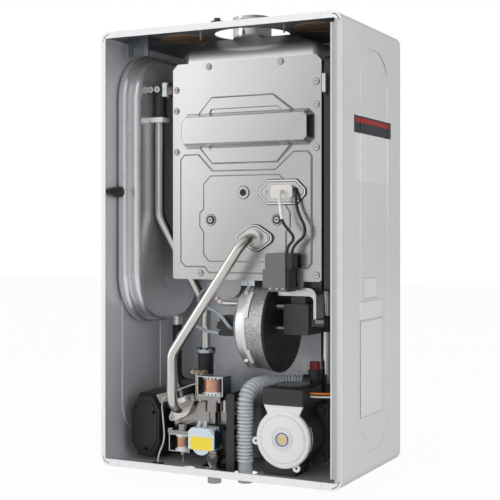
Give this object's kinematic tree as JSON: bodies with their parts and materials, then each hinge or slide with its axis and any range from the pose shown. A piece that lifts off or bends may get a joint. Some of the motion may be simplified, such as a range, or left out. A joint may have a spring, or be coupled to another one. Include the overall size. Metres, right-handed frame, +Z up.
{
  "type": "gas boiler",
  "caption": "wall-hung gas boiler with its front cover off: steel casing, sealed combustion chamber with front plate, expansion vessel, blower, gas valve, pump and drain hose",
  "frame": {"origin": "middle of the casing's width, on its back face and level with its underside", "axes": "X to the right seen from the front, Y back to the wall, Z up"},
  "size_m": [0.416, 0.256, 0.744],
  "materials": {
    "casing_paint": "satin",
    "back_sheet": "satin",
    "tank_steel": "semi-gloss",
    "gasket_rubber": "matte",
    "black_rubber": "matte",
    "flue_steel": "brushed",
    "exchanger_steel": "brushed",
    "plate_steel": "brushed",
    "sight_glass": "polished",
    "fastener_steel": "polished",
    "ceramic_white": "glazed",
    "electrode_steel": "satin",
    "black_plastic": "matte",
    "fan_cast": "cast",
    "drive_plastic": "semi-gloss",
    "lead_black": "matte",
    "pipe_steel": "satin",
    "cast_aluminium": "cast",
    "nipple_brass": "machined",
    "coil_frame_zinc": "zinc plated",
    "bobbin_white": "matte",
    "copper_wire": "enamelled copper",
    "plunger_steel": "ground",
    "modulator_plastic": "matte",
    "bracket_zinc": "zinc plated",
    "fan_cover_metal": "matte",
    "fan_wheel_metal": "satin",
    "motor_black": "matte",
    "tube_silicone": "matte",
    "pump_cast_iron": "painted",
    "pump_white": "satin",
    "rotor_steel": "satin",
    "plug_brass": "machined",
    "relief_red": "matte",
    "hose_clear": "translucent",
    "exchanger_stack": "satin",
    "stub_brass": "machined",
    "lead_wire": "matte",
    "sensor_wire": "matte",
    "plug_black": "matte"
  },
  "bodies": {
    "casing": {"casing_back": "back_sheet", "casing_bottom": "casing_paint", "casing_left": "casing_paint", "casing_right": "casing_paint", "casing_top": "casing_paint", "control_box": "black_plastic", "diverter_body": "black_plastic", "diverter_drive": "drive_plastic", "electrode_insulator": "ceramic_white", "expansion_tank": "tank_steel", "fan_bracket": "bracket_zinc", "fan_cover": "fan_cover_metal", "fan_motor": "motor_black", "fan_scroll": "fan_cast", "flow_elbow": "black_plastic", "flow_pipe": "pipe_steel", "flue_hood": "exchanger_steel", "flue_pipe": "flue_steel", "front_plate": "plate_steel", "gas_bracket": "black_plastic", "gas_pipe": "pipe_steel", "gas_valve_body": "cast_aluminium", "heat_exchanger_body": "exchanger_steel", "ignition_electrodes": "electrode_steel", "ignition_leads": "lead_black", "ignition_transformer": "black_plastic", "knockout_gaskets": "gasket_rubber", "modulator_housing": "modulator_plastic", "pipe_stubs": "stub_brass", "plate_heat_exchanger": "exchanger_stack", "pressure_switch": "black_plastic", "pump_face": "pump_white", "pump_housing": "pump_cast_iron", "pump_leads": "lead_wire", "relief_valve": "black_plastic", "return_pipe": "pipe_steel", "ribbed_hose": "hose_clear", "screws": "fastener_steel", "sensor_lead": "sensor_wire", "sensor_plug": "plug_black", "sight_glass": "sight_glass", "silicone_tubes": "tube_silicone", "solenoid_bobbins": "bobbin_white", "solenoid_frames": "coil_frame_zinc", "solenoid_windings": "copper_wire", "tank_bracket": "tank_steel", "tank_hose": "black_rubber", "terminal_box": "black_plastic", "test_nipples": "nipple_brass", "top_cap": "black_rubber", "wall_clip": "black_rubber", "white_clips": "bobbin_white"},
    "fan_wheel": {"fan_impeller": "fan_wheel_metal"},
    "pump_wheel": {"pump_rotor": "rotor_steel"},
    "vent_screw": {"vent_plug": "plug_brass"},
    "speed_knob": {"speed_dial": "black_plastic"},
    "relief_handle": {"relief_knob": "relief_red"},
    "upper_armature": {"upper_plunger": "plunger_steel"},
    "lower_armature": {"lower_plunger": "plunger_steel"},
    "diverter_shaft": {"diverter_spindle": "plunger_steel"}
  },
  "joints": [
    {"name": "fan_spin", "type": "hinge", "parent": "casing", "child": "fan_wheel", "pos_m": [0.04, -0.136, 0.225], "axis": [1, 0, 0], "continuous": true},
    {"name": "pump_spin", "type": "hinge", "parent": "casing", "child": "pump_wheel", "pos_m": [0.096, -0.17, 0.06], "axis": [0, 1, 0], "continuous": true},
    {"name": "vent_plug_turn", "type": "hinge", "parent": "casing", "child": "vent_screw", "pos_m": [0.096, -0.215, 0.06], "axis": [0, 1, 0], "range_deg": [0, 360]},
    {"name": "speed_dial_turn", "type": "hinge", "parent": "casing", "child": "speed_knob", "pos_m": [0.096, -0.177, 0.139], "axis": [0, 0, 1], "range_deg": [0, 120]},
    {"name": "relief_knob_turn", "type": "hinge", "parent": "casing", "child": "relief_handle", "pos_m": [0.104, -0.112, 0.16], "axis": [0, 0, 1], "range_deg": [0, 90]},
    {"name": "upper_plunger_lift", "type": "slide", "parent": "casing", "child": "upper_armature", "axis": [0, 0, 1], "range_m": [0, 0.004], "stiffness_N_per_m": 200, "springref_m": -0.004},
    {"name": "lower_plunger_lift", "type": "slide", "parent": "casing", "child": "lower_armature", "axis": [0, 0, 1], "range_m": [0, 0.004], "stiffness_N_per_m": 200, "springref_m": -0.004},
    {"name": "diverter_shift", "type": "slide", "parent": "casing", "child": "diverter_shaft", "axis": [1, 0, 0], "range_m": [0, 0.008]}
  ]
}
